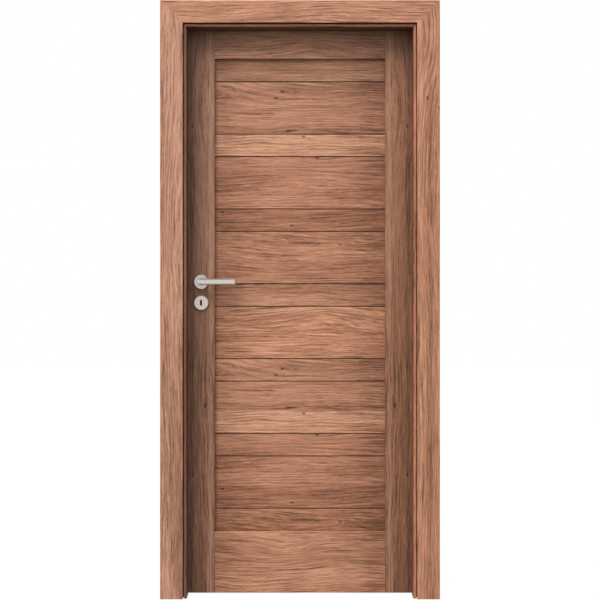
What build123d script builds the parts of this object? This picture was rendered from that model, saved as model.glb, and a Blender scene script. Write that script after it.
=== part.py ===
from build123d import *
import os

# An interior door: a rebated stile-and-rail leaf with horizontal boards, hung on barrel hinges
# in a mitred frame that lines a wall opening and has casings on both sides of the wall.
# Units are millimetres. X runs along the wall towards the hinges, Y through the wall away from
# the front, and Z up. The origin is on the wall face of the hinge jamb, at floor level and at
# half the wall's thickness.

# Doorway and wall
clear_width = 802.0
clear_height = 2022.0
wall_thickness = 100.0

# Jambs: boards with a stop for the leaf and a groove for the front casing's tongue
jamb_thickness = 25.0
jamb_setback = 1.0
jamb_bevel = 2.5
stop_cheek = 10.0
groove_width = 9.0
groove_depth = 30.0
rebate_width = 13.0
casing_seat = 1.0

# Casings: flat mitred boards, the front ones with a tongue
casing_width = 80.0
casing_thickness = 12.0
casing_round = 2.0
tongue_length = 26.0
tongue_clearance = 0.3

# Seal: a soft bead with a barb, in a slot of the stop
seal_slot_width = 3.0
seal_slot_depth = 6.0
seal_width = 8.0
seal_round_share = 0.7
seal_fit = 0.1
seal_clearance = 0.5

# Leaf: its rebate, its gaps and the pieces of its face
leaf_thickness = 40.0
lip_thickness = 12.0
lip_overlap = 8.0
edge_gap = 6.0
stop_gap = 5.0
lip_gap = 5.0
floor_gap = 5.0
stile_show = 95.0
top_rail_show = 99.0
bottom_rail_height = 220.0
arris = 1.0

# Boards: narrow and wide by turns, a narrow one first and last, tongued into each other
narrow_board = 81.0
board_count = 13
board_thickness = 10.0
board_gap = 3.2
board_arris = 0.8
board_groove_depth = 10.0
board_fit = 0.2
board_end_gap = 0.5
board_tongue_thickness = 4.0
board_tongue_bite = 6.0

# Lock, in the edge of the lock stile
handle_height = 1121.5
key_drop = 75.0
backset = 53.0
faceplate_width = 20.0
faceplate_length = 235.0
faceplate_thickness = 3.0
lock_fit = 0.3
bolt_thickness = 11.0
bolt_length = 20.0
bolt_fit = 0.2
latch_height = 30.0
latch_rise = 10.0
latch_nose = 1.0
nose_chamfer_share = 0.6
dead_bolt_height = 24.0
dead_bolt_rise = 6.0

# Strike plate, in the rebate of the lock jamb
strike_thickness = 2.0
strike_width = 19.0
strike_length = 170.0
strike_clearance = 4.0
strike_pocket_depth = 7.0
strike_fit = 0.1

# Handles: a lever and a key rose on each face, the levers on one square spindle
rose_diameter = 52.0
rose_thickness = 8.0
rose_round = 2.0
key_slot_width = 7.0
key_slot_height = 22.0
spindle_side = 8.0
spindle_fit = 0.1
spindle_bite = 22.0
spindle_passage = 20.0
collar_diameter = 25.0
collar_proud = 1.5
collar_clearance = 0.3
lever_reach = 46.0
lever_length = 124.0
lever_diameter = 22.0
lever_arris = 1.0

# Barrel hinges: the lower half on the frame carries a pin, the upper half on the leaf turns on it
barrel_diameter = 15.0
barrel_height = 45.0
barrel_round = 1.5
barrel_standoff = 9.0
barrel_play = 0.3
hinge_pin_diameter = 8.0
hinge_pin_length = 34.0
hinge_pin_fit = 0.1
anchor_diameter = 6.0
anchor_fit = 0.2
anchor_offsets = (12.0, 33.0)
leaf_anchor_length = 25.0
frame_anchor_depth = 4.0
hinge_drop = 241.0
hinge_spacing = 1435.0

# Depths through the wall
wall_front = -wall_thickness / 2
wall_back = wall_thickness / 2
frame_back = wall_back + casing_thickness
lip_front = frame_back + lip_gap
leaf_back = lip_front + lip_thickness
leaf_front = leaf_back - leaf_thickness
leaf_middle = (leaf_front + leaf_back) / 2
core_middle = (leaf_front + lip_front) / 2
stop_depth = leaf_front - stop_gap
jamb_front = wall_front + jamb_setback

# Distances outward from the edge of the doorway
core_out = rebate_width - edge_gap
lip_out = rebate_width + lip_overlap
groove_out = stop_cheek + groove_width
casing_out = rebate_width + casing_width
seat_out = jamb_thickness - casing_seat
hinge_out = lip_out + barrel_standoff

# Places along the wall and up it
hinge_edge = -jamb_thickness
lock_edge = hinge_edge - clear_width
doorway_x = (hinge_edge + lock_edge) / 2
field_width = clear_width - 2 * stile_show
field_top = clear_height - top_rail_show
field_bottom = floor_gap + bottom_rail_height
core_top = clear_height + core_out
lip_top = clear_height + lip_out
core_lock_edge = lock_edge - core_out
handle_x = core_lock_edge + backset
key_height = handle_height - key_drop
lock_height = (handle_height + key_height) / 2
latch_z = handle_height + latch_rise
dead_bolt_z = key_height + dead_bolt_rise
hinge_x = hinge_edge + hinge_out
hinge_y = (lip_front + leaf_back) / 2
hinge_heights = {"upper": core_top - hinge_drop, "lower": core_top - hinge_drop - hinge_spacing}
panel_groove = board_thickness + 2 * board_fit
panel_seat = board_groove_depth - board_end_gap

# Section planes: local x runs outward from the doorway's edge, and local y is depth
side_planes = {
    "lock_side": Plane(origin=(lock_edge, 0, 0), x_dir=(-1, 0, 0), z_dir=(0, 0, -1)),
    "hinge_side": Plane(origin=(hinge_edge, 0, 0), x_dir=(1, 0, 0), z_dir=(0, 0, 1)),
    "head": Plane(origin=(doorway_x, 0, clear_height), x_dir=(0, 0, 1), z_dir=(-1, 0, 0)),
}
side_upward = {"lock_side": -1, "hinge_side": 1}
mitres = {
    "lock_side": Plane(origin=(lock_edge, 0, clear_height), z_dir=(1, 0, 1)),
    "hinge_side": Plane(origin=(hinge_edge, 0, clear_height), z_dir=(-1, 0, 1)),
}
sides = ("lock_side", "hinge_side", "head")


def save(part, name):
    """Labels a finished piece and writes its STEP file."""
    part.label = name
    export_step(part, f"parts/{name}.step")


def outline(points):
    """A flat section with the given corners."""
    with BuildSketch() as section:
        with BuildLine():
            Polyline(points, close=True)
        make_face()
    return section.sketch


def jamb_section():
    """A jamb: the casing's groove in front, the stop, the seal's slot and the rebate behind."""
    slot_middle = rebate_width / 2
    return outline([
        (0, jamb_front + jamb_bevel),
        (jamb_bevel, jamb_front),
        (stop_cheek, jamb_front),
        (stop_cheek, jamb_front + groove_depth),
        (groove_out, jamb_front + groove_depth),
        (groove_out, jamb_front),
        (jamb_thickness, jamb_front),
        (jamb_thickness, wall_back),
        (seat_out, wall_back),
        (seat_out, frame_back),
        (rebate_width, frame_back),
        (rebate_width, stop_depth),
        (slot_middle + seal_slot_width / 2, stop_depth),
        (slot_middle + seal_slot_width / 2, stop_depth - seal_slot_depth),
        (slot_middle - seal_slot_width / 2, stop_depth - seal_slot_depth),
        (slot_middle - seal_slot_width / 2, stop_depth),
        (0, stop_depth),
    ])


def front_casing_section():
    """A front casing: a flat board with rounded front edges and a tongue for the jamb's groove."""
    tongue_out = groove_out - tongue_clearance
    with BuildSketch() as section:
        with BuildLine():
            Polyline(
                [
                    (rebate_width, wall_front - casing_thickness),
                    (casing_out, wall_front - casing_thickness),
                    (casing_out, wall_front),
                    (tongue_out, wall_front),
                    (tongue_out, wall_front + tongue_length),
                    (rebate_width, wall_front + tongue_length),
                ],
                close=True,
            )
        make_face()
        fillet(section.vertices().group_by(Axis.Y)[0], casing_round)
    return section.sketch


def back_casing_section():
    """A back casing: a flat board seated against the jamb, flush with the jamb's back edge."""
    with BuildSketch() as section:
        with BuildLine():
            Polyline(
                [
                    (seat_out, wall_back),
                    (casing_out, wall_back),
                    (casing_out, frame_back),
                    (seat_out, frame_back),
                ],
                close=True,
            )
        make_face()
        fillet(section.vertices().group_by(Axis.Y)[-1].sort_by(Axis.X)[-1], casing_round)
    return section.sketch


def seal_section():
    """A seal: a round-nosed bead on the stop, held by a barb in the stop's slot."""
    middle = rebate_width / 2
    nose = stop_gap - seal_clearance
    barb_half = seal_slot_width / 2 - seal_fit
    with BuildSketch() as section:
        with Locations((middle, stop_depth + nose / 2)):
            Rectangle(seal_width, nose)
        fillet(section.vertices().group_by(Axis.Y)[-1], nose * seal_round_share)
        with Locations((middle, stop_depth - (seal_slot_depth - seal_fit) / 2)):
            Rectangle(2 * barb_half, seal_slot_depth - seal_fit)
    return section.sketch


def frame_member(side, section):
    """One side of the frame with the given section, mitred where it meets the next side."""
    with BuildPart() as member:
        with BuildSketch(side_planes[side]):
            add(section)
        if side == "head":
            extrude(amount=clear_width / 2 + casing_out, both=True)
            for mitre in mitres.values():
                split(bisect_by=mitre, keep=Keep.TOP)
        else:
            extrude(amount=side_upward[side] * (clear_height + casing_out))
            split(bisect_by=mitres[side], keep=Keep.BOTTOM)
    return member.part


def bolt_blocks(thickness, length, clearance, start_x):
    """Two blocks on the latch's and the dead bolt's lines, from start_x towards the hinges."""
    with BuildPart() as blocks:
        for height, z in ((latch_height, latch_z), (dead_bolt_height, dead_bolt_z)):
            with Locations((start_x + length / 2, core_middle, z)):
                Box(length, thickness + 2 * clearance, height + 2 * clearance)
    return blocks.part


def frame_anchor_line(hinge, offset):
    """A plane on the hinge's axis whose normal points along a frame anchor, into the jamb."""
    target_x = hinge_edge + (rebate_width + seat_out) / 2
    target_y = wall_back - frame_anchor_depth
    z = hinge_heights[hinge] - offset
    way = Vector(target_x - hinge_x, target_y - hinge_y, 0)
    return Plane(origin=(hinge_x, hinge_y, z), z_dir=way), way.length


def frame_anchors(hinge, clearance):
    """The two threaded pins that hold the lower half of a hinge in the frame."""
    with BuildPart() as anchors:
        for offset in anchor_offsets:
            plane, length = frame_anchor_line(hinge, offset)
            with BuildSketch(plane):
                Circle(anchor_diameter / 2 + clearance)
            extrude(amount=length + clearance)
    return anchors.part


def leaf_anchors(hinge, clearance):
    """The two threaded pins that hold the upper half of a hinge in the edge of the leaf."""
    with BuildPart() as anchors:
        for offset in anchor_offsets:
            origin = (hinge_x, hinge_y, hinge_heights[hinge] + offset)
            with BuildSketch(Plane(origin=origin, z_dir=(-1, 0, 0))):
                Circle(anchor_diameter / 2 + clearance)
            extrude(amount=barrel_standoff + leaf_anchor_length + clearance)
    return anchors.part


def strike_recess():
    """The strike plate's seat in the lock jamb and the pockets behind its two holes."""
    with BuildPart() as recess:
        face_x = lock_edge - rebate_width
        with Locations((face_x - strike_thickness / 2, frame_back - strike_width / 2, lock_height)):
            Box(strike_thickness, strike_width + 2 * strike_fit, strike_length + 2 * strike_fit)
        add(bolt_blocks(bolt_thickness, strike_pocket_depth, strike_clearance / 2,
                        face_x - strike_thickness - strike_pocket_depth))
    return recess.part


def lock_jamb():
    """The jamb that takes the latch."""
    with BuildPart() as jamb:
        add(frame_member("lock_side", jamb_section()))
        add(strike_recess(), mode=Mode.SUBTRACT)
    return jamb.part


def hinged_member(section):
    """A hinge side member of the frame, bored for the anchors of both hinges."""
    with BuildPart() as member:
        add(frame_member("hinge_side", section))
        for hinge in hinge_heights:
            add(frame_anchors(hinge, anchor_fit), mode=Mode.SUBTRACT)
    return member.part


def strike_plate():
    """A flat plate with a hole for the latch and one for the dead bolt."""
    face_x = lock_edge - rebate_width
    with BuildPart() as plate:
        with Locations((face_x - strike_thickness / 2, frame_back - strike_width / 2, lock_height)):
            Box(strike_thickness, strike_width, strike_length)
        add(bolt_blocks(bolt_thickness, strike_thickness, strike_clearance / 2,
                        face_x - strike_thickness), mode=Mode.SUBTRACT)
    return plate.part


def rebate_cut(side):
    """What the leaf's rebate takes from the front of its outer edge, on one side."""
    length = clear_width / 2 + lip_out
    with BuildPart() as cut:
        with BuildSketch(side_planes[side]):
            with Locations(((core_out + lip_out) / 2, (leaf_front + lip_front) / 2)):
                Rectangle(lip_out - core_out, lip_front - leaf_front)
        if side == "head":
            extrude(amount=length, both=True)
        else:
            extrude(amount=side_upward[side] * lip_top)
    return cut.part


def stile(side):
    """An upright of the leaf, grooved for the boards and rebated on its outer edge and top."""
    with BuildPart() as upright:
        with BuildSketch(side_planes[side]) as section:
            with Locations(((lip_out - stile_show) / 2, leaf_middle)):
                Rectangle(lip_out + stile_show, leaf_thickness)
            chamfer(section.vertices().group_by(Axis.X)[0], arris)
            with Locations((-stile_show + board_groove_depth / 2, leaf_middle)):
                Rectangle(board_groove_depth, panel_groove, mode=Mode.SUBTRACT)
        extrude(amount=side_upward[side] * lip_top)
        with Locations((doorway_x, leaf_middle, floor_gap / 2)):
            Box(2 * clear_width, 2 * leaf_thickness, floor_gap, mode=Mode.SUBTRACT)
        add(rebate_cut(side), mode=Mode.SUBTRACT)
        add(rebate_cut("head"), mode=Mode.SUBTRACT)
    return upright.part


def key_slot(start_y, end_y):
    """The keyhole's round-ended slot between two depths."""
    with BuildPart() as slot:
        with BuildSketch(Plane(origin=(handle_x, start_y, key_height), x_dir=(0, 0, 1), z_dir=(0, 1, 0))):
            SlotOverall(key_slot_height, key_slot_width)
        extrude(amount=end_y - start_y)
    return slot.part


def faceplate_blank(clearance):
    """The lock's faceplate with round ends, without its holes, in the edge of the leaf."""
    plane = Plane(origin=(core_lock_edge, core_middle, lock_height), x_dir=(0, 0, 1), z_dir=(1, 0, 0))
    with BuildPart() as plate:
        with BuildSketch(plane):
            SlotOverall(faceplate_length + 2 * clearance, faceplate_width + 2 * clearance)
        extrude(amount=faceplate_thickness)
    return plate.part


def spindle_hole(diameter):
    """A round hole on the levers' axis, right through the leaf."""
    with BuildPart() as hole:
        with BuildSketch(Plane(origin=(handle_x, leaf_front, handle_height), z_dir=(0, 1, 0))):
            Circle(diameter / 2)
        extrude(amount=leaf_thickness)
    return hole.part


def lock_stile():
    """The stile with the faceplate's seat, the bolts' pockets, the spindle's passage and the keyhole."""
    with BuildPart() as upright:
        add(stile("lock_side"))
        add(faceplate_blank(lock_fit), mode=Mode.SUBTRACT)
        add(bolt_blocks(bolt_thickness, bolt_length + bolt_fit, bolt_fit, core_lock_edge),
            mode=Mode.SUBTRACT)
        add(spindle_hole(spindle_passage), mode=Mode.SUBTRACT)
        add(key_slot(leaf_front, leaf_back), mode=Mode.SUBTRACT)
    return upright.part


def hinge_stile():
    """The stile bored for the anchors of both hinges."""
    with BuildPart() as upright:
        add(stile("hinge_side"))
        for hinge in hinge_heights:
            add(leaf_anchors(hinge, anchor_fit), mode=Mode.SUBTRACT)
    return upright.part


def rail(low, high, groove_z):
    """A rail between the stiles, with a stub tenon in each stile's groove and a groove for a board."""
    middle_z = (low + high) / 2
    tenon_length = field_width + 2 * panel_seat
    with BuildPart() as bar:
        with Locations((doorway_x, leaf_middle, middle_z)):
            Box(field_width, leaf_thickness, high - low)
            Box(tenon_length, board_thickness, high - low)
        with Locations((doorway_x, leaf_middle, groove_z)):
            Box(tenon_length, panel_groove, 2 * board_groove_depth, mode=Mode.SUBTRACT)
        add(rebate_cut("head"), mode=Mode.SUBTRACT)
    return bar.part


def board_edges():
    """Heights of the lines between boards, from the top of the field down to its bottom."""
    narrow_count = (board_count + 1) // 2
    wide_count = board_count // 2
    wide_board = (field_top - field_bottom - narrow_count * narrow_board) / wide_count
    edges = [field_top]
    for number in range(board_count):
        edges.append(edges[-1] - (wide_board if number % 2 else narrow_board))
    return edges


def board(number, top, bottom):
    """One board: tongue on its top edge, slot in its bottom edge, or a plain edge in a rail's groove."""
    first = number == 0
    last = number == board_count - 1
    high = top + panel_seat if first else top - board_gap / 2
    low = bottom - panel_seat if last else bottom + board_gap / 2
    tongue = board_gap + board_tongue_bite
    length = field_width + 2 * panel_seat
    plane = Plane(origin=(doorway_x, leaf_middle, 0), x_dir=(0, 1, 0), z_dir=(1, 0, 0))
    with BuildPart() as piece:
        with BuildSketch(plane) as section:
            with Locations((0, (low + high) / 2)):
                Rectangle(board_thickness, high - low)
            chamfer(section.vertices(), board_arris)
            if not first:
                with Locations((0, high + tongue / 2)):
                    Rectangle(board_tongue_thickness, tongue)
            if not last:
                slot = board_tongue_bite + board_end_gap
                with Locations((0, low + slot / 2)):
                    Rectangle(board_tongue_thickness + 2 * board_fit, slot, mode=Mode.SUBTRACT)
        extrude(amount=length / 2, both=True)
    return piece.part


def lock_faceplate():
    """The plate on the leaf's edge, with a hole for each bolt."""
    with BuildPart() as plate:
        add(faceplate_blank(0.0))
        add(bolt_blocks(bolt_thickness, faceplate_thickness, bolt_fit, core_lock_edge),
            mode=Mode.SUBTRACT)
    return plate.part


def bolt(height, z, nose):
    """A bolt drawn back into the lock, its end standing out of the faceplate by its nose."""
    length = bolt_length + nose
    with BuildPart() as block:
        with Locations((core_lock_edge - nose + length / 2, core_middle, z)):
            Box(length, bolt_thickness, height)
        if nose:
            chamfer(block.edges().group_by(Axis.X)[0].filter_by(Axis.Z), nose * nose_chamfer_share)
    return block.part


def face_plane(face, z):
    """The plane of a leaf face on the lock's line, its normal pointing away from the leaf."""
    depth, way = (leaf_front, -1) if face == "front" else (leaf_back, 1)
    return Plane(origin=(handle_x, depth, z), x_dir=(1, 0, 0), z_dir=(0, way, 0))


def rose_disc(plane):
    """A round rose with a rounded rim."""
    with BuildPart() as disc:
        with BuildSketch(plane):
            Circle(rose_diameter / 2)
        extrude(amount=rose_thickness)
        fillet(disc.faces().sort_by(Axis(plane.origin, plane.z_dir))[-1].edges(),
               rose_round)
    return disc.part


def handle_rose(face):
    """The rose around a lever's collar."""
    plane = face_plane(face, handle_height)
    with BuildPart() as rose:
        add(rose_disc(plane))
        with BuildSketch(plane):
            Circle(collar_diameter / 2 + collar_clearance)
        extrude(amount=rose_thickness, mode=Mode.SUBTRACT)
    return rose.part


def key_rose(face):
    """The rose around the keyhole."""
    plane = face_plane(face, key_height)
    with BuildPart() as rose:
        add(rose_disc(plane))
        add(key_slot(leaf_front - rose_thickness, leaf_back + rose_thickness), mode=Mode.SUBTRACT)
    return rose.part


def lever(face):
    """A lever: a collar in the rose and a round bar, mitred at its corner and cut off square."""
    base = face_plane(face, handle_height)
    way = base.z_dir.Y
    grip_y = base.origin.Y + way * lever_reach
    with BuildPart() as handle:
        with BuildLine() as path:
            neck = Line(base.origin, (handle_x, grip_y, handle_height))
            Line(neck @ 1, (handle_x + lever_length, grip_y, handle_height))
        with BuildSketch(base):
            Circle(lever_diameter / 2)
        sweep(path=path.line, transition=Transition.RIGHT)
        chamfer(handle.faces().sort_by(Axis.X)[-1].edges(), lever_arris)
        with BuildSketch(base):
            Circle(collar_diameter / 2)
        extrude(amount=rose_thickness + collar_proud)
        with BuildSketch(base):
            Rectangle(spindle_side + 2 * spindle_fit, spindle_side + 2 * spindle_fit)
        extrude(amount=spindle_bite + spindle_fit, mode=Mode.SUBTRACT)
    return handle.part


def spindle():
    """The square bar that joins the two levers."""
    with BuildPart() as bar:
        with Locations((handle_x, leaf_middle, handle_height)):
            Box(spindle_side, leaf_thickness + 2 * spindle_bite, spindle_side)
    return bar.part


def frame_barrel(hinge):
    """The lower half of a hinge: a barrel with a pin standing up and two anchors for the frame."""
    z = hinge_heights[hinge]
    with BuildPart() as barrel:
        with BuildSketch(Plane((hinge_x, hinge_y, z - barrel_height))):
            Circle(barrel_diameter / 2)
        extrude(amount=barrel_height - barrel_play / 2)
        fillet(barrel.faces().sort_by(Axis.Z)[0].edges(), barrel_round)
        with BuildSketch(Plane((hinge_x, hinge_y, z - barrel_play))):
            Circle(hinge_pin_diameter / 2)
        extrude(amount=hinge_pin_length)
        add(frame_anchors(hinge, 0.0))
    return barrel.part


def leaf_barrel(hinge):
    """The upper half of a hinge: a bored barrel with two anchors for the edge of the leaf."""
    z = hinge_heights[hinge]
    bore_depth = hinge_pin_length + barrel_play
    with BuildPart() as barrel:
        with BuildSketch(Plane((hinge_x, hinge_y, z + barrel_play / 2))):
            Circle(barrel_diameter / 2)
        extrude(amount=barrel_height - barrel_play / 2)
        fillet(barrel.faces().sort_by(Axis.Z)[-1].edges(), barrel_round)
        add(leaf_anchors(hinge, 0.0))
        with BuildSketch(Plane((hinge_x, hinge_y, z + barrel_play / 2))):
            Circle(hinge_pin_diameter / 2 + hinge_pin_fit)
        extrude(amount=bore_depth, mode=Mode.SUBTRACT)
    return barrel.part


def build_frame():
    """The mitred frame, its seals, its strike plate and the frame halves of the hinges."""
    save(lock_jamb(), "lock_jamb")
    save(hinged_member(jamb_section()), "hinge_jamb")
    save(frame_member("head", jamb_section()), "head_jamb")
    for side in sides:
        save(frame_member(side, front_casing_section()), f"front_casing_{side}")
        save(frame_member(side, seal_section()), f"seal_{side}")
    save(frame_member("lock_side", back_casing_section()), "back_casing_lock_side")
    save(hinged_member(back_casing_section()), "back_casing_hinge_side")
    save(frame_member("head", back_casing_section()), "back_casing_head")
    save(strike_plate(), "strike_plate")
    for hinge in hinge_heights:
        save(frame_barrel(hinge), f"{hinge}_hinge_frame_barrel")


def build_leaf():
    """The leaf with its boards, its lock, its roses and the leaf halves of the hinges."""
    save(lock_stile(), "lock_stile")
    save(hinge_stile(), "hinge_stile")
    save(rail(field_top, lip_top, field_top), "top_rail")
    save(rail(floor_gap, field_bottom, field_bottom), "bottom_rail")
    edges = board_edges()
    for number in range(board_count):
        save(board(number, edges[number], edges[number + 1]), f"board_{number + 1:02d}")
    save(lock_faceplate(), "lock_faceplate")
    save(bolt(latch_height, latch_z, latch_nose), "latch_bolt")
    save(bolt(dead_bolt_height, dead_bolt_z, 0.0), "dead_bolt")
    for face in ("front", "back"):
        save(handle_rose(face), f"{face}_handle_rose")
        save(key_rose(face), f"{face}_key_rose")
    for hinge in hinge_heights:
        save(leaf_barrel(hinge), f"{hinge}_hinge_leaf_barrel")


def build_levers():
    """The two levers and the spindle that joins them."""
    for face in ("front", "back"):
        save(lever(face), f"{face}_lever")
    save(spindle(), "spindle")


os.makedirs("parts", exist_ok=True)
build_frame()
build_leaf()
build_levers()
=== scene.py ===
import math
from dataclasses import dataclass, replace

import bpy
from bpy.props import FloatProperty, FloatVectorProperty, PointerProperty
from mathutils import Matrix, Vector


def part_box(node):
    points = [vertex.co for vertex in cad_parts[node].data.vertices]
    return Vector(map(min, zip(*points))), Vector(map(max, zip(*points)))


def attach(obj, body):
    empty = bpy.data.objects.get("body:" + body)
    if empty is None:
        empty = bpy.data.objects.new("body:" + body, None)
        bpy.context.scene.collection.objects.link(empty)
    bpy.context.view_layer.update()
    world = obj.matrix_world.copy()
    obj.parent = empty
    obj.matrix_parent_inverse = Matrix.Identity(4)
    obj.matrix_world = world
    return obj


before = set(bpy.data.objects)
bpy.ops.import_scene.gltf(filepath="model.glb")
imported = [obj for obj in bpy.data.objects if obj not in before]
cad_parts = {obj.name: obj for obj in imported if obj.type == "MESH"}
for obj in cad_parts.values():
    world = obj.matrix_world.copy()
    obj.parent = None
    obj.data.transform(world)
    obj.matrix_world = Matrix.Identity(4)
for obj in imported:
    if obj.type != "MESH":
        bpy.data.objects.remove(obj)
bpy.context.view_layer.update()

bl_info = {
    "name": "Boarded Interior Door",
    "version": (1, 0, 0),
    "blender": (4, 5, 0),
    "location": "View3D > Sidebar > Door",
    "description": "Veneers, metal, screws and a white stage for a boarded interior door",
    "category": "Object",
}

BOARDS = sorted(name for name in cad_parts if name.startswith("board_"))
SIDES = ("lock_side", "hinge_side", "head")
FACES = ("front", "back")
WHITE = (1.0, 1.0, 1.0, 1.0)

# The middle of the doorway, the casing's front, the axis of the levers and the keyhole
FIELD_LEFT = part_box("lock_stile")[1].x
FIELD_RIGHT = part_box("hinge_stile")[0].x
DOORWAY_X = (FIELD_LEFT + FIELD_RIGHT) / 2
FRONT_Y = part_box("front_casing_head")[0].y
HANDLE = sum(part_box("spindle"), Vector()) / 2
KEY = sum(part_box("front_key_rose"), Vector()) / 2


# Shader maths

class Reading:
    """A number that changes over a surface and is used in sums like a plain number."""

    def __init__(self, finish, socket):
        self.finish = finish
        self.socket = socket

    def __add__(self, other):
        return self.finish.maths("ADD", self, other)

    __radd__ = __add__

    def __sub__(self, other):
        return self.finish.maths("SUBTRACT", self, other)

    def __rsub__(self, other):
        return self.finish.maths("SUBTRACT", other, self)

    def __mul__(self, other):
        return self.finish.maths("MULTIPLY", self, other)

    __rmul__ = __mul__

    def __truediv__(self, other):
        return self.finish.maths("DIVIDE", self, other)

    def __pow__(self, other):
        return self.finish.maths("POWER", self, other)

    def __neg__(self):
        return self.finish.maths("MULTIPLY", self, -1.0)


class Finish:
    """A material, or the world, and its nodes."""

    def __init__(self, name, owner=None):
        self.owner = owner or bpy.data.materials.new(name)
        self.owner.use_nodes = True
        self.tree = self.owner.node_tree
        self.tree.nodes.clear()

    def feed(self, socket, value):
        """Links a reading or an output to a socket, or sets a plain value on it."""
        if isinstance(value, Reading):
            value = value.socket
        if isinstance(value, bpy.types.NodeSocket):
            self.tree.links.new(value, socket)
        else:
            socket.default_value = value

    def node(self, kind, settings=None, sockets=None):
        """Adds a node of a kind, sets its settings, then feeds its sockets."""
        made = self.tree.nodes.new(kind)
        for key, value in (settings or {}).items():
            if key == "stops":
                self.set_stops(made.color_ramp, value)
            else:
                setattr(made, key, value)
        for key, value in (sockets or {}).items():
            self.feed(made.inputs[key], value)
        return made

    @staticmethod
    def set_stops(ramp, stops):
        """Gives a colour ramp its stops, each a place and a colour."""
        while len(ramp.elements) < len(stops):
            ramp.elements.new(1.0)
        for element, (place, colour) in zip(ramp.elements, stops):
            element.position = place
            element.color = (*colour, 1.0)

    def maths(self, operation, *values):
        """The result of a Math node."""
        made = self.node("ShaderNodeMath", {"operation": operation}, dict(enumerate(values)))
        return Reading(self, made.outputs[0])

    def place(self):
        """The X, Y and Z of a point on the piece, in metres."""
        coordinates = self.node("ShaderNodeTexCoord").outputs["Object"]
        split = self.node("ShaderNodeSeparateXYZ", None, {0: coordinates})
        return [Reading(self, output) for output in split.outputs]

    def noise(self, x, y, z, detail=2.0, roughness=0.5):
        """Cloudy noise between 0 and 1 at the given place."""
        point = self.node("ShaderNodeCombineXYZ", None, {0: x, 1: y, 2: z}).outputs[0]
        made = self.node(
            "ShaderNodeTexNoise", None,
            {"Vector": point, "Scale": 1.0, "Detail": detail, "Roughness": roughness})
        return Reading(self, made.outputs["Fac"])

    def hill(self, along, across, place, reach):
        """A smooth hill of height 1 at a place, with its reach along and across the grain."""
        run = (along - place[0]) / reach[0]
        rise = (across - place[1]) / reach[1]
        return self.maths("EXPONENT", -(run * run + rise * rise))

    def blend(self, mode, factor, first, second):
        """Two colours mixed."""
        made = self.node("ShaderNodeMix", {"data_type": "RGBA", "blend_type": mode})
        self.feed(made.inputs["Factor"], factor)
        self.feed(made.inputs[6], first)
        self.feed(made.inputs[7], second)
        return made.outputs[2]

    def seen(self):
        """1 where the camera sees the surface, also in metal, and 0 where it only lights others."""
        paths = self.node("ShaderNodeLightPath")
        kinds = ("Camera", "Glossy", "Transmission")
        camera, glossy, transmission = (Reading(self, paths.outputs[f"Is {kind} Ray"]) for kind in kinds)
        return self.maths("MINIMUM", camera + glossy + transmission, 1.0)

    def surface(self, colour, roughness, height=None, bump_depth=0.0, **constants):
        """Finishes the material with a shader, its bump and its constant settings."""
        shader = self.node("ShaderNodeBsdfPrincipled", None, {"Base Color": colour, "Roughness": roughness})
        if height is not None:
            bump = self.node(
                "ShaderNodeBump", None, {"Strength": 1.0, "Distance": bump_depth, "Height": height})
            self.feed(shader.inputs["Normal"], bump.outputs[0])
        for key, value in constants.items():
            self.feed(shader.inputs[key.replace("_", " ")], value)
        self.node("ShaderNodeOutputMaterial", None, {"Surface": shader.outputs[0]})
        return self.owner


# Veneer

# How far a knot parts the lines around it, and its dark heart: strength, then reach along and across
KNOT_BEND = 0.6, (0.035, 0.010)
KNOT_HEART = 1.1, (0.006, 0.0030)

# How far the lines wander, in broad, middling and fine waves
SWAY = 0.030
RIPPLE = 0.0065
SHIVER = 0.0022

# How far apart on the log two strips lie whose seeds differ by one
STRIP_SHIFT = 0.41


@dataclass
class Figure:
    """How the grain is drawn on a strip of veneer.

    Places are (along the grain, across it), in metres from the strip's mark. Swells lift the lines:
    (place, rise, reach). Knots part them: places. Patches lighten or darken: (place, tone, reach).
    """

    seed: float
    tint: tuple = (1.0, 1.0, 1.0)
    slope: float = 0.0
    swells: tuple = ()
    knots: tuple = ()
    patches: tuple = ()

    def draw(self, finish, along, across, depth):
        """The flow that the lines of the grain follow, and the shade of knots and patches."""
        flow = across - self.slope * along
        for place, rise, reach in self.swells:
            flow = flow - rise * finish.hill(along, across, place, reach)
        shade = finish.noise(along * 1.3 + self.seed, across * 9.0, depth * 3.0) - 0.5
        for knot in self.knots:
            bend, bend_reach = KNOT_BEND
            heart, heart_reach = KNOT_HEART
            flow = flow - bend * (across - knot[1]) * finish.hill(along, across, knot, bend_reach)
            shade = shade - heart * finish.hill(along, across, knot, heart_reach)
        for place, tone, reach in self.patches:
            shade = shade + tone * finish.hill(along, across, place, reach)
        sway = finish.noise(along * 2.4 + self.seed, across * 6.0, depth + self.seed)
        ripple = finish.noise(along * 9.0 + self.seed, across * 26.0, depth * 2.0 - self.seed)
        shiver = finish.noise(along * 34.0, across * 70.0 + self.seed, depth * 4.0)
        return flow + SWAY * sway + RIPPLE * ripple + SHIVER * shiver + STRIP_SHIFT * self.seed, shade


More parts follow.
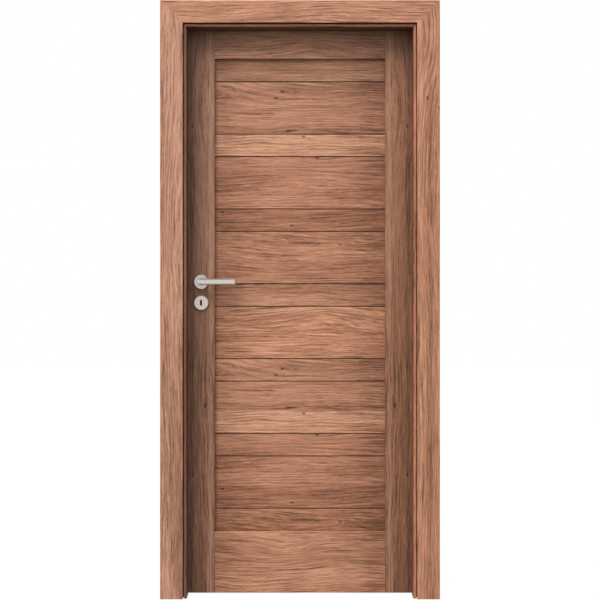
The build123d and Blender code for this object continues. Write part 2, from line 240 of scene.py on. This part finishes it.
def veneer(node, look, strips, upright=False, seam=None, stain=1.0):
    """Covers a node with veneer that shows bands, growth lines, fibres and pores, also round its edges.

    Each strip is its figure, its mark (along, across) and the way across it, 1 or -1 where it is turned over.
    Where there are two, they meet at the seam and the second lies below it. The painted shade is the share of
    light left on what lies between the front and back faces, such as the grooves between the boards and the
    inner faces of the jambs, painted into their colour.
    """
    finish = Finish(f"veneer_{node}")
    x, depth, z = finish.place()
    front, back = (corner.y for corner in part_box(node))
    inside = finish.maths("MINIMUM", depth - front, back - depth)
    along = z if upright else x
    across = inside + (x if upright else z)
    drawn = []
    for figure, mark, way in strips:
        drawn.append(figure.draw(finish, along - mark[0], (across - mark[1]) * way, depth))
    flow, shade = drawn[0]
    tint = (*strips[0][0].tint, 1.0)
    if seam is not None:
        below = finish.maths("LESS_THAN", across, seam)
        flow = flow + below * (drawn[1][0] - flow)
        shade = shade + below * (drawn[1][1] - shade)
        tint = finish.blend("MIX", below, tint, (*strips[1][0].tint, 1.0))
    bands = finish.noise(along * 1.6, flow * 30.0, depth * 4.0, 3.0, 0.6)
    lines = finish.noise(along * 8.0, flow * 230.0, depth * 6.0, 3.0, 0.65)
    fibres = finish.noise(along * 30.0, flow * 520.0, depth * 40.0, 3.0, 0.7)
    pores = finish.noise(along * 42.0, flow * 1300.0, depth * 90.0, 1.0, 0.5)
    ring = finish.maths("FRACT", flow * 90.0 + 3.0 * bands)
    fading = finish.maths("SMOOTH_MAX", finish.noise(along * 7.5, flow * 34.0, depth * 5.0) - 0.36, 0.0, 0.06)
    edge = ring ** 7.0 * fading * 4.0
    pore = finish.maths("SMOOTH_MAX", pores - 0.6, 0.0, 0.04) * 2.2
    tone = (0.53 + look.shade_contrast * shade + look.band_contrast * (bands - 0.5)
            + look.line_contrast * (lines - 0.5) + look.fibre_contrast * (fibres - 0.5)
            - look.ring_contrast * edge - look.pore_contrast * pore)
    ramp = finish.node(
        "ShaderNodeValToRGB",
        {"stops": [(0.0, look.darkest), (0.30, look.dark), (0.55, look.middle), (0.88, look.light)]},
        {"Fac": tone})
    colour = finish.blend("MULTIPLY", 1.0, ramp.outputs[0], tint)
    # Painted shade: what lies behind the front face, such as the grooves and the jambs' inner faces, is
    # darkened
    if stain < 1.0:
        painted_shade_mask = finish.maths("GREATER_THAN", inside, look.painted_shade_margin)
        colour = finish.blend("MULTIPLY", painted_shade_mask, colour, (stain, stain, stain, 1.0))
    roughness = look.roughness + 0.14 * (lines - 0.5) + 0.1 * pore
    height = 0.6 * lines + 0.4 * fibres - 0.8 * pore - 0.5 * edge
    dress(node, finish.surface(colour, roughness, height, look.grain_depth, Specular_IOR_Level=0.3))


# The reach of a patch that runs on without an end
ENDLESS = 100.0

# Painted shade: boards and rails darken towards their ends, beside the stiles, more so on the hinge side
PAINTED_END_SHADE = (((-0.306, 0.0), -0.24, (0.10, ENDLESS)), ((0.306, 0.0), -0.41, (0.122, ENDLESS)))

# Painted shade: the lowest board darkens towards the bottom rail, most of all beside it: tones and reaches
PAINTED_FOOT_SHADE = ((-0.30, (ENDLESS, 0.05)), (-0.34, (ENDLESS, 0.008)))

# The sheet that the boards are cut from, top to bottom, marked at the middle of each strip's upper edge
SHEET = {
    "board_01": Figure(
        seed=1.0, patches=PAINTED_END_SHADE, tint=(0.90, 0.89, 0.87),
        swells=(((0.20, -0.03), -0.006, (0.20, 0.03)),)),
    "board_02": Figure(
        seed=2.0, patches=PAINTED_END_SHADE, tint=(0.97, 0.96, 0.94),
        swells=(((-0.33, 0.0), 0.050, (0.22, 0.055)), ((0.02, 0.0), 0.014, (0.22, 0.05)),
                ((0.0, -0.145), 0.006, (0.25, 0.03))),
        knots=((-0.065, -0.044), (-0.086, -0.066), (-0.043, -0.184))),
    "board_03": Figure(
        seed=3.0, patches=PAINTED_END_SHADE, tint=(1.23, 1.31, 1.31),
        swells=(((-0.126, -0.023), 0.007, (0.10, 0.03)),),
        knots=((0.014, -0.0155),)),
    "board_04": Figure(
        seed=4.0, patches=PAINTED_END_SHADE, tint=(0.98, 0.94, 0.92),
        swells=(((0.061, -0.012), -0.019, (0.10, 0.028)), ((-0.013, -0.089), 0.017, (0.215, 0.04)),
                ((0.20, -0.15), 0.008, (0.12, 0.03))),
        knots=((0.062, -0.012),)),
    "board_05": Figure(
        seed=5.0, patches=PAINTED_END_SHADE, tint=(0.92, 0.86, 0.81), slope=0.06,
        knots=((-0.031, -0.067), (-0.279, -0.0195))),
    "board_06": Figure(
        seed=6.0, patches=PAINTED_END_SHADE, tint=(1.00, 0.97, 0.93),
        swells=(((-0.22, -0.02), 0.034, (0.24, 0.05)), ((-0.004, -0.125), -0.016, (0.21, 0.04))),
        knots=((0.144, -0.056),)),
    "board_07": Figure(
        seed=7.0, patches=PAINTED_END_SHADE, tint=(0.93, 0.92, 0.90),
        swells=(((0.061, -0.03), 0.016, (0.215, 0.05)),)),
    "board_08": Figure(
        seed=8.0, patches=PAINTED_END_SHADE, tint=(1.24, 1.24, 1.21),
        swells=(((0.072, -0.03), 0.034, (0.18, 0.052)), ((0.20, -0.10), -0.008, (0.16, 0.03)))),
}
# The top rail's patch along its upper edge is painted light, which lifts the shade under the head jamb
TOP_RAIL = Figure(
    seed=9.0, patches=(*PAINTED_END_SHADE, ((0.0, 0.115), 0.42, (ENDLESS, 0.045))), tint=(1.02, 1.00, 1.00),
    swells=(((0.035, 0.05), 0.016, (0.10, 0.04)), ((-0.15, 0.075), 0.008, (0.10, 0.02))))
# The bottom rail's pale strip along its upper edge is a painted highlight
BOTTOM_RAIL = Figure(
    seed=10.0, patches=(*PAINTED_END_SHADE, ((0.0, 0.0), 0.26, (ENDLESS, 0.010))), tint=(1.10, 1.10, 1.08),
    swells=(((-0.054, -0.066), -0.026, (0.13, 0.05)), ((0.17, -0.13), 0.012, (0.17, 0.035)),
            ((-0.2, -0.2), -0.010, (0.1, 0.03))))

# Both stiles show one figure, turned over: the outer edge is the dark one. The darker outer part is partly
# the figure and partly painted shade beside the jambs, and the pale strip along the inner edge is partly the
# figure and partly painted light. Places are up from the floor and out from the middle of the stile
STILE = Figure(
    seed=11.0, tint=(0.63, 0.60, 0.57),
    swells=(((1.70, 0.01), 0.016, (0.32, 0.04)), ((1.15, 0.02), -0.012, (0.26, 0.03)),
            ((0.62, 0.0), 0.016, (0.30, 0.04)), ((0.20, 0.03), -0.012, (0.2, 0.03))),
    knots=((1.681, 0.022), (0.429, 0.022), (0.677, -0.024)),
    patches=(((0.0, -0.043), 0.42, (ENDLESS, 0.010)), ((0.0, 0.024), -0.34, (ENDLESS, 0.008)),
             ((0.0, 0.045), -0.10, (ENDLESS, 0.014)), ((0.35, 0.0), -0.24, (0.55, ENDLESS))))
STILES = {"lock_stile": (replace(STILE, tint=(0.64, 0.66, 0.67)), -1.0), "hinge_stile": (STILE, 1.0)}

FRAME_FIGURES = {
    # The jambs are one veneer: the lock jamb's darker tint is painted shade, and the head jamb's paler tint
    # is painted light on its front edge
    "lock_jamb": Figure(seed=12.0, tint=(0.60, 0.52, 0.48)),
    "hinge_jamb": Figure(seed=13.0, tint=(0.95, 0.88, 0.85)),
    "head_jamb": Figure(seed=14.0, tint=(1.05, 0.95, 0.88)),
    "front_casing_lock_side": Figure(
        seed=15.0, tint=(1.07, 1.14, 1.22), patches=(((0.35, 0.0), -0.26, (0.5, ENDLESS)),),
        swells=(((1.95, 0.0), 0.024, (0.35, 0.05)), ((1.2, 0.0), -0.014, (0.4, 0.04)),
                ((0.5, 0.01), 0.016, (0.35, 0.04)))),
    "front_casing_hinge_side": Figure(
        seed=16.0, tint=(0.94, 0.90, 0.87),
        swells=(((2.02, 0.02), 0.036, (0.22, 0.05)), ((1.45, -0.01), -0.016, (0.3, 0.04)),
                ((0.7, 0.0), 0.018, (0.35, 0.04))),
        knots=((1.735, 0.036), (1.77, -0.004)),
        patches=(((0.0, -0.028), 0.22, (ENDLESS, 0.013)), ((0.0, 0.006), -0.24, (ENDLESS, 0.008)))),
    "front_casing_head": Figure(
        seed=17.0, tint=(1.07, 1.06, 1.04),
        swells=(((0.1, 0.0), 0.014, (0.2, 0.04)), ((-0.3, 0.0), -0.010, (0.2, 0.04)))),
    "back_casing_lock_side": Figure(
        seed=18.0, tint=(1.0, 1.0, 1.0), swells=(((1.2, 0.0), 0.02, (0.4, 0.05)),)),
    "back_casing_hinge_side": Figure(
        seed=19.0, tint=(0.98, 0.96, 0.95), swells=(((0.8, 0.0), -0.02, (0.4, 0.05)),)),
    "back_casing_head": Figure(
        seed=20.0, tint=(1.0, 1.0, 1.0), swells=(((-0.1, 0.0), 0.012, (0.2, 0.04)),)),
}


# Other finishes

def satin_metal(name, colour, roughness, brush_axis):
    """Satin plated metal with a fine brushed grain along one axis and a faint cloudiness."""
    finish = Finish(name)
    place = finish.place()
    stretch = [900.0, 900.0, 900.0]
    stretch[brush_axis] = 30.0
    brushed = finish.noise(*[value * scale for value, scale in zip(place, stretch)], 2.0, 0.6)
    cloud = finish.noise(*[value * 45.0 for value in place], 2.0, 0.5)
    ramp = finish.node(
        "ShaderNodeValToRGB",
        {"stops": [(0.25, [part * 0.86 for part in colour]), (0.75, colour)]},
        {"Fac": 0.6 * brushed + 0.4 * cloud})
    return finish.surface(
        ramp.outputs[0], roughness + 0.1 * (brushed - 0.5) + 0.06 * (cloud - 0.5),
        brushed, 0.00002, Metallic=1.0)


def seal_rubber(name, colour):
    """Soft brown seal with a dusty bloom."""
    finish = Finish(name)
    x, y, z = finish.place()
    bloom = finish.noise(x * 120.0, y * 120.0, z * 24.0, 3.0, 0.6)
    ramp = finish.node(
        "ShaderNodeValToRGB",
        {"stops": [(0.3, colour), (0.8, [part * 1.7 for part in colour])]},
        {"Fac": bloom})
    return finish.surface(ramp.outputs[0], 0.62 + 0.2 * (bloom - 0.5), bloom, 0.00006)


def black_lacquer(name, colour):
    """The blackened steel inside the lock, with worn specks."""
    finish = Finish(name)
    x, y, z = finish.place()
    specks = finish.noise(x * 700.0, y * 700.0, z * 700.0, 2.0, 0.6)
    ramp = finish.node(
        "ShaderNodeValToRGB",
        {"stops": [(0.4, colour), (0.9, [part * 2.5 for part in colour])]},
        {"Fac": specks})
    roughness = 0.8 + 0.2 * (specks - 0.5)
    return finish.surface(ramp.outputs[0], roughness, specks, 0.00003, Specular_IOR_Level=0.08)


def dress(piece, material):
    """Gives a piece, or a CAD node by its name, one material all over."""
    if isinstance(piece, str):
        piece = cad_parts[piece]
    piece.data.materials.clear()
    piece.data.materials.append(material)


# Modelling

# Edges flatter than this are shaded smooth
SMOOTH_ANGLE = math.radians(35.0)


def deselect():
    bpy.ops.object.select_all(action="DESELECT")


def settle(piece, name):
    """Names a modelled piece and puts its place into its mesh."""
    deselect()
    piece.select_set(True)
    bpy.context.view_layer.objects.active = piece
    bpy.ops.object.transform_apply(location=True, rotation=True, scale=True)
    bpy.ops.object.shade_smooth_by_angle(angle=SMOOTH_ANGLE)
    piece.name = name
    piece.data.name = name
    return piece


def select_faces(piece, test):
    """Selects, in edit mode, only those faces whose normal passes the test."""
    bpy.ops.mesh.select_mode(type="FACE")
    bpy.ops.mesh.select_all(action="DESELECT")
    bpy.ops.object.mode_set(mode="OBJECT")
    for face in piece.data.polygons:
        face.select = test(face.normal)
    bpy.ops.object.mode_set(mode="EDIT")


def cut_with(piece, cutter):
    """Cuts one piece out of another and throws the cutter away."""
    deselect()
    piece.select_set(True)
    bpy.context.view_layer.objects.active = piece
    bpy.ops.object.modifier_add(type="BOOLEAN")
    cut = piece.modifiers[-1]
    cut.operation = "DIFFERENCE"
    cut.solver = "EXACT"
    cut.object = cutter
    bpy.ops.object.modifier_apply(modifier=cut.name)
    bpy.data.objects.remove(cutter)


def driver_bar(length, width, depth, top, turn):
    """One bar of a cross-head driver's tip, narrowing downwards and turned about Z."""
    deselect()
    bpy.ops.mesh.primitive_cube_add(size=1.0, location=(0.0, 0.0, top))
    bar = bpy.context.object
    bar.scale = (length, width, 2.0 * depth)
    bpy.ops.object.transform_apply(location=True, scale=True)
    bpy.ops.object.mode_set(mode="EDIT")
    select_faces(bar, lambda normal: normal.z < -0.5)
    bpy.ops.transform.resize(value=(0.45, 0.7, 1.0), center_override=(0.0, 0.0, top - depth))
    bpy.ops.object.mode_set(mode="OBJECT")
    bar.rotation_euler.z = turn
    bpy.ops.object.transform_apply(rotation=True)
    return bar


def screw_head(radius):
    """A countersunk screw's head with a low crown and a cross recess, standing on Z = 0 and facing up."""
    crown = 0.12 * radius
    deselect()
    bpy.ops.mesh.primitive_cylinder_add(
        vertices=40, radius=radius, depth=radius, location=(0.0, 0.0, -radius / 2))
    head = bpy.context.object
    bpy.ops.object.transform_apply(location=True)
    bpy.ops.object.mode_set(mode="EDIT")
    select_faces(head, lambda normal: normal.z < -0.5)
    bpy.ops.transform.resize(value=(0.5, 0.5, 1.0), center_override=(0.0, 0.0, -radius))
    select_faces(head, lambda normal: normal.z > 0.5)
    for share in (0.35, 0.4):
        bpy.ops.mesh.inset(thickness=share * radius)
        bpy.ops.transform.translate(value=(0.0, 0.0, crown * (0.75 - share)))
    bpy.ops.object.mode_set(mode="OBJECT")
    for turn in (0.0, math.pi / 2):
        cut_with(head, driver_bar(1.15 * radius, 0.26 * radius, 0.45 * radius, crown, turn))
    return head


def set_screw(radius):
    """A headless screw with a six-sided socket, its end on Z = 0 and facing up."""
    deselect()
    bpy.ops.mesh.primitive_cylinder_add(
        vertices=36, radius=radius, depth=2.0 * radius, location=(0.0, 0.0, -radius))
    screw = bpy.context.object
    bpy.ops.object.transform_apply(location=True)
    bpy.ops.object.mode_set(mode="EDIT")
    select_faces(screw, lambda normal: normal.z > 0.5)
    bpy.ops.mesh.bevel(offset=0.14 * radius, segments=2, affect="EDGES")
    bpy.ops.object.mode_set(mode="OBJECT")
    deselect()
    bpy.ops.mesh.primitive_cylinder_add(vertices=6, radius=0.55 * radius, depth=2.0 * radius)
    socket = bpy.context.object
    cut_with(screw, socket)
    return screw


def copy_of(piece, location, facing):
    """A copy of a modelled piece with its own mesh, moved to a place and turned to face a direction."""
    made = piece.copy()
    made.data = piece.data.copy()
    bpy.context.collection.objects.link(made)
    made.location = location
    made.rotation_euler = Vector(facing).to_track_quat("Z", "Y").to_euler()
    return made


# Settings

def colour_property(name, description, default):
    return FloatVectorProperty(name=name, description=description, subtype="COLOR", size=3,
                               min=0.0, max=1.0, default=default)


def amount_property(name, description, default):
    return FloatProperty(name=name, description=description, default=default)


def share_property(name, description, default):
    return FloatProperty(name=name, description=description, subtype="FACTOR",
                         min=0.0, max=1.0, default=default)


def length_property(name, description, default):
    return FloatProperty(name=name, description=description, unit="LENGTH", precision=5, default=default)


class DoorVeneerSettings(bpy.types.PropertyGroup):
    """The veneer that covers the frame and the leaf."""

    darkest: colour_property("Darkest", "Knots and the darkest growth lines", (0.050, 0.018, 0.009))
    dark: colour_property("Dark", "Dark growth lines", (0.20, 0.083, 0.045))
    middle: colour_property("Middle", "The veneer's general colour", (0.40, 0.190, 0.112))
    light: colour_property("Light", "The palest bands", (0.62, 0.330, 0.205))
    shade_contrast: amount_property("Shade contrast", "Strength of knots and patches", 0.45)
    band_contrast: amount_property("Band contrast", "Strength of the broad bands", 0.34)
    line_contrast: amount_property("Line contrast", "Strength of the narrow lines", 0.9)
    fibre_contrast: amount_property("Fibre contrast", "Strength of the fibres", 0.78)
    ring_contrast: amount_property("Ring contrast", "Strength of the growth lines", 0.40)
    pore_contrast: amount_property("Pore contrast", "Strength of the open pores", 0.18)
    roughness: share_property("Roughness", "Satin lacquer", 0.5)
    grain_depth: length_property("Grain depth", "Depth of the open grain", 0.00012)
    # Painted shade: the grooves between the boards and the inner faces of the jambs are darkened, from the
    # margin behind the face
    groove_painted_shade: share_property("Groove stain", "Light left in the grooves between the boards", 0.32)
    jamb_painted_shade: share_property("Jamb stain", "Light left on the inner faces of the jambs", 0.5)
    painted_shade_margin: length_property("Stain margin", "From the face to where a stain starts", 0.0005)


class DoorMetalSettings(bpy.types.PropertyGroup):
    """Handles, lock, hinges and seals."""

    lever_colour: colour_property("Levers", "Satin nickel of the levers", (0.755, 0.70, 0.67))
    rose_colour: colour_property("Roses", "Satin nickel of the roses", (0.655, 0.58, 0.535))
    hinge_colour: colour_property("Hinges", "Satin steel of the hinges and lock", (0.56, 0.54, 0.52))
    lock_colour: colour_property("Lock", "Blackened steel inside the lock", (0.006, 0.005, 0.005))
    seal_colour: colour_property("Seal", "The soft seal", (0.055, 0.034, 0.024))
    roughness: share_property("Roughness", "How matt the satin is", 0.36)
    lever_roughness: share_property("Lever roughness", "How matt the levers are", 0.52)
    plate_screw: length_property("Plate screw", "Radius of a screw's head", 0.0042)
    plate_screw_inset: length_property("Plate screw inset", "From the end of a plate to its screw", 0.0115)
    set_screw: length_property("Set screw", "Radius of a lever's set screw", 0.0024)
    set_screw_place: share_property("Set screw place", "Share of the way from the rose to the grip", 0.3)
    curtain_width: length_property("Curtain width", "Width of the plate in the lock", 0.0066)
    curtain_thickness: length_property("Curtain thickness", "Thickness of the plate in the lock", 0.003)
    curtain_height: length_property("Curtain height", "Height of the plate in the lock", 0.0214)


class DoorStageSettings(bpy.types.PropertyGroup):
    """Camera, lamp and floor."""

    camera_distance: length_property("Camera distance", "From the casing's front", 5.65)
    camera_height: length_property("Camera height", "Above the floor", 1.0564)
    field_width: length_property("Field width", "Width of the picture at the casing", 2.1172)
    key_power: FloatProperty(name="Key power", description="Lamp at the upper left", unit="POWER",
                             default=4900.0)
    key_distance: length_property("Key distance", "From the door", 20.0)
    key_size: length_property("Key size", "Side of the lamp", 12.8)
    key_direction: FloatVectorProperty(name="Key direction", description="From the door towards the lamp",
                                       default=(-0.735, -1.0, 1.6), subtype="DIRECTION")
    fill_level: amount_property("Fill level", "Soft light from all round", 1.28)
    floor_colour: colour_property("Floor", "The pale floor", (0.92, 0.92, 0.92))
    floor_bounce: colour_property("Floor bounce", "The light that the floor throws back", (0.01, 0.01, 0.01))
    floor_glow: share_property("Floor glow", "How white the floor looks", 0.95)
    floor_size: length_property("Floor size", "Side of the floor", 40.0)
    floor_drop: length_property("Floor drop", "From the casing's feet down to the floor", 0.0005)


# Pieces

class DOOR_OT_boards(bpy.types.Operator):
    """Veneers the boards from one sheet, which starts again where it runs out"""

    bl_idname = "door.boards"
    bl_label = "Veneer the boards"

    def execute(self, context):
        look = context.scene.door_veneer
        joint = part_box("bottom_rail")[1].z
        first_repeat = BOARDS[len(SHEET)]
        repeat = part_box("board_02")[1].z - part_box(first_repeat)[1].z
        for node in BOARDS:
            low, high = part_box(node)
            lift = 0.0 if node in SHEET else repeat
            strips = self.strips_between(low.z + lift, high.z + lift)
            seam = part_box(strips[0])[0].z - lift if len(strips) == 2 else None
            drawn = []
            for strip in strips:
                figure = SHEET[strip]
                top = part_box(strip)[1].z - lift
                # The lowest board gets painted shade beside the bottom rail
                if node == BOARDS[-1]:
                    foot_shade = [((0.0, joint - top), tone, reach) for tone, reach in PAINTED_FOOT_SHADE]
                    figure = replace(figure, patches=(*figure.patches, *foot_shade))
                drawn.append((figure, (DOORWAY_X, top), 1.0))
            # The grooves between the boards get painted shade
            veneer(node, look, drawn, seam=seam, stain=look.groove_painted_shade)
        return {"FINISHED"}

    @staticmethod
    def strips_between(bottom, top, least=0.015):
        """The strips of the sheet that a board between two heights is cut from, top first."""
        found = []
        for strip in SHEET:
            low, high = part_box(strip)
            if min(high.z, top) - max(low.z, bottom) > least:
                found.append(strip)
        return found


class DOOR_OT_leaf_frame(bpy.types.Operator):
    """Veneers the stiles and rails of the leaf"""

    bl_idname = "door.leaf_frame"
    bl_label = "Veneer the stiles and rails"

    def execute(self, context):
        look = context.scene.door_veneer
        top_mark = (DOORWAY_X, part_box("top_rail")[0].z)
        bottom_mark = (DOORWAY_X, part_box("bottom_rail")[1].z)
        veneer("top_rail", look, [(TOP_RAIL, top_mark, 1.0)])
        veneer("bottom_rail", look, [(BOTTOM_RAIL, bottom_mark, 1.0)])
        for node, (figure, way) in STILES.items():
            low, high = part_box(node)
            mark = (0.0, (low.x + high.x) / 2)
            veneer(node, look, [(figure, mark, way)], upright=True)
        return {"FINISHED"}


class DOOR_OT_frame_boards(bpy.types.Operator):
    """Veneers the jambs and the casings"""

    bl_idname = "door.frame_boards"
    bl_label = "Veneer the jambs and casings"

    def execute(self, context):
        look = context.scene.door_veneer
        for node, figure in FRAME_FIGURES.items():
            upright = "head" not in node
            low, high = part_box(node)
            mark = (0.0, (low.x + high.x) / 2) if upright else (DOORWAY_X, (low.z + high.z) / 2)
            # The jambs' inner faces get painted shade
            stain = look.jamb_painted_shade if "jamb" in node else 1.0
            veneer(node, look, [(figure, mark, 1.0)], upright=upright, stain=stain)
        return {"FINISHED"}


class DOOR_OT_metalwork(bpy.types.Operator):
    """Finishes the levers, roses, hinges and lock in satin metal"""

    bl_idname = "door.metalwork"
    bl_label = "Finish the metalwork"

    def execute(self, context):
        metal = context.scene.door_metal
        lever = satin_metal("satin_lever", metal.lever_colour, metal.lever_roughness, 0)
        rose = satin_metal("satin_rose", metal.rose_colour, metal.roughness, 2)
        hinge = satin_metal("satin_hinge", metal.hinge_colour, metal.roughness, 2)
        for face in FACES:
            dress(f"{face}_lever", lever)
            dress(f"{face}_handle_rose", rose)
            dress(f"{face}_key_rose", rose)
        for height in ("upper", "lower"):
            dress(f"{height}_hinge_frame_barrel", hinge)
            dress(f"{height}_hinge_leaf_barrel", hinge)
        for node in ("lock_faceplate", "latch_bolt", "dead_bolt", "strike_plate", "spindle"):
            dress(node, hinge)
        return {"FINISHED"}


class DOOR_OT_screws(bpy.types.Operator):
    """Puts screws into the lock's plates and the levers"""

    bl_idname = "door.screws"
    bl_label = "Add the screws"

    def execute(self, context):
        metal = context.scene.door_metal
        steel = satin_metal("satin_screw", metal.hinge_colour, metal.roughness, 1)
        head = screw_head(metal.plate_screw)
        for plate, body, way in (("lock_faceplate", "leaf", -1.0), ("strike_plate", "frame", 1.0)):
            low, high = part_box(plate)
            face_x = low.x if way < 0.0 else high.x
            middle_y = (low.y + high.y) / 2
            heights = {"upper": high.z - metal.plate_screw_inset, "lower": low.z + metal.plate_screw_inset}
            for end, height in heights.items():
                screw = copy_of(head, (face_x, middle_y, height), (way, 0.0, 0.0))
                self.fit(screw, f"{plate}_{end}_screw", steel, body)
        bpy.data.objects.remove(head)

        tiny = set_screw(metal.set_screw)
        for face, way in (("front", -1.0), ("back", 1.0)):
            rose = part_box(f"{face}_handle_rose")
            face_y = rose[0].y if way < 0.0 else rose[1].y
            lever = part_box(f"{face}_lever")
            end_y = lever[0].y if way < 0.0 else lever[1].y
            screw_y = face_y + metal.set_screw_place * (end_y - face_y)
            neck = (HANDLE.x, screw_y, self.grip_bottom(face))
            screw = copy_of(tiny, neck, (0.0, 0.0, -1.0))
            self.fit(screw, f"{face}_lever_set_screw", steel, "lever")
        bpy.data.objects.remove(tiny)
        return {"FINISHED"}

    @staticmethod
    def grip_bottom(face):
        """The underside of a lever's neck, read from its grip, which has the same section."""
        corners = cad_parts[f"{face}_lever"].data.vertices
        rose_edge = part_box(f"{face}_handle_rose")[1].x
        return min(corner.co.z for corner in corners if corner.co.x > rose_edge)

    @staticmethod
    def fit(screw, name, steel, body):
        settle(screw, name)
        dress(screw, steel)
        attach(screw, body)


class DOOR_OT_lock_curtain(bpy.types.Operator):
    """Closes the keyhole inside the lock with a black plate"""

    bl_idname = "door.lock_curtain"
    bl_label = "Add the lock's curtain"

    def execute(self, context):
        metal = context.scene.door_metal
        width = metal.curtain_width
        thickness = metal.curtain_thickness
        deselect()
        bpy.ops.mesh.primitive_cube_add(size=1.0, location=(KEY.x, HANDLE.y, KEY.z))
        plate = bpy.context.object
        plate.scale = (width, thickness, metal.curtain_height)
        bpy.ops.object.transform_apply(location=True, scale=True)
        bpy.ops.object.mode_set(mode="EDIT")
        bpy.ops.mesh.select_mode(type="EDGE")
        bpy.ops.mesh.select_all(action="DESELECT")
        bpy.ops.object.mode_set(mode="OBJECT")
        corners = plate.data.vertices
        for edge in plate.data.edges:
            start, end = (corners[index].co for index in edge.vertices)
            edge.select = abs(start.y - end.y) > 0.5 * thickness
        bpy.ops.object.mode_set(mode="EDIT")
        # Just under half the width rounds the plate's ends
        bpy.ops.mesh.bevel(offset=0.49 * width, segments=8, affect="EDGES")
        bpy.ops.object.mode_set(mode="OBJECT")
        settle(plate, "lock_curtain")
        dress(plate, black_lacquer("black_lock", metal.lock_colour))
        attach(plate, "leaf")
        return {"FINISHED"}


class DOOR_OT_seals(bpy.types.Operator):
    """Finishes the seals in soft rubber"""

    bl_idname = "door.seals"
    bl_label = "Finish the seals"

    def execute(self, context):
        rubber = seal_rubber("seal_rubber", context.scene.door_metal.seal_colour)
        for side in SIDES:
            dress(f"seal_{side}", rubber)
        return {"FINISHED"}


class DOOR_OT_stage(bpy.types.Operator):
    """Sets up the white stage, the lamp and the camera"""

    bl_idname = "door.stage"
    bl_label = "Set up the stage"

    def execute(self, context):
        stage = context.scene.door_stage
        self.add_camera(context, stage)
        self.add_lamp(context, stage)
        self.add_world(context, stage)
        self.add_floor(stage)
        context.scene.view_settings.view_transform = "Standard"
        return {"FINISHED"}

    def add_camera(self, context, stage):
        data = bpy.data.cameras.new("camera")
        data.lens = data.sensor_width * stage.camera_distance / stage.field_width
        camera = bpy.data.objects.new("camera", data)
        camera.location = (DOORWAY_X, FRONT_Y - stage.camera_distance, stage.camera_height)
        camera.rotation_euler = (math.pi / 2, 0.0, 0.0)
        context.collection.objects.link(camera)
        context.scene.camera = camera

    def add_lamp(self, context, stage):
        towards = Vector(stage.key_direction).normalized()
        data = bpy.data.lights.new("key_lamp", "AREA")
        data.energy = stage.key_power
        data.size = stage.key_size
        lamp = bpy.data.objects.new("key_lamp", data)
        lamp.visible_glossy = False
        lamp.location = Vector((DOORWAY_X, 0.0, stage.camera_height)) + stage.key_distance * towards
        lamp.rotation_euler = (-towards).to_track_quat("-Z", "Y").to_euler()
        context.collection.objects.link(lamp)

    def add_world(self, context, stage):
        world = bpy.data.worlds.new("white_room")
        context.scene.world = world
        finish = Finish("white_room", world)
        level = stage.fill_level + (1.0 - stage.fill_level) * finish.seen()
        background = finish.node("ShaderNodeBackground", None, {"Color": WHITE, "Strength": level})
        finish.node("ShaderNodeOutputWorld", None, {"Surface": background.outputs[0]})

    def add_floor(self, stage):
        deselect()
        bpy.ops.mesh.primitive_plane_add(size=stage.floor_size, location=(DOORWAY_X, 0.0, -stage.floor_drop))
        floor = bpy.context.object
        floor.name = "floor"
        bpy.ops.object.transform_apply(location=True)
        finish = Finish("pale_floor")
        bounce = finish.node("ShaderNodeBsdfDiffuse", None, {"Color": (*stage.floor_bounce, 1.0)})
        paint = finish.node("ShaderNodeBsdfDiffuse", None, {"Color": (*stage.floor_colour, 1.0)})
        glow = finish.node("ShaderNodeEmission", None, {"Color": WHITE, "Strength": 1.0})
        white = finish.node(
            "ShaderNodeMixShader", None, {0: stage.floor_glow, 1: paint.outputs[0], 2: glow.outputs[0]})
        floor_shader = finish.node(
            "ShaderNodeMixShader", None, {0: finish.seen(), 1: bounce.outputs[0], 2: white.outputs[0]})
        finish.node("ShaderNodeOutputMaterial", None, {"Surface": floor_shader.outputs[0]})
        floor.data.materials.append(finish.owner)


class DOOR_PT_panel(bpy.types.Panel):
    """Lists the steps that dress the door"""

    bl_idname = "DOOR_PT_panel"
    bl_label = "Door"
    bl_space_type = "VIEW_3D"
    bl_region_type = "UI"
    bl_category = "Door"

    def draw(self, context):
        for step in STEPS:
            self.layout.operator(step.bl_idname)


STEPS = (
    DOOR_OT_boards,
    DOOR_OT_leaf_frame,
    DOOR_OT_frame_boards,
    DOOR_OT_metalwork,
    DOOR_OT_screws,
    DOOR_OT_lock_curtain,
    DOOR_OT_seals,
    DOOR_OT_stage,
)
SETTINGS = {
    "door_veneer": DoorVeneerSettings,
    "door_metal": DoorMetalSettings,
    "door_stage": DoorStageSettings,
}


def register():
    for name, group in SETTINGS.items():
        bpy.utils.register_class(group)
        setattr(bpy.types.Scene, name, PointerProperty(type=group))
    for step in (*STEPS, DOOR_PT_panel):
        bpy.utils.register_class(step)


def unregister():
    for step in reversed((*STEPS, DOOR_PT_panel)):
        bpy.utils.unregister_class(step)
    for name, group in SETTINGS.items():
        delattr(bpy.types.Scene, name)
        bpy.utils.unregister_class(group)


def main():
    register()
    bpy.ops.door.boards()
    bpy.ops.door.leaf_frame()
    bpy.ops.door.frame_boards()
    bpy.ops.door.metalwork()
    bpy.ops.door.screws()
    bpy.ops.door.lock_curtain()
    bpy.ops.door.seals()
    bpy.ops.door.stage()


if __name__ == "__main__":
    main()
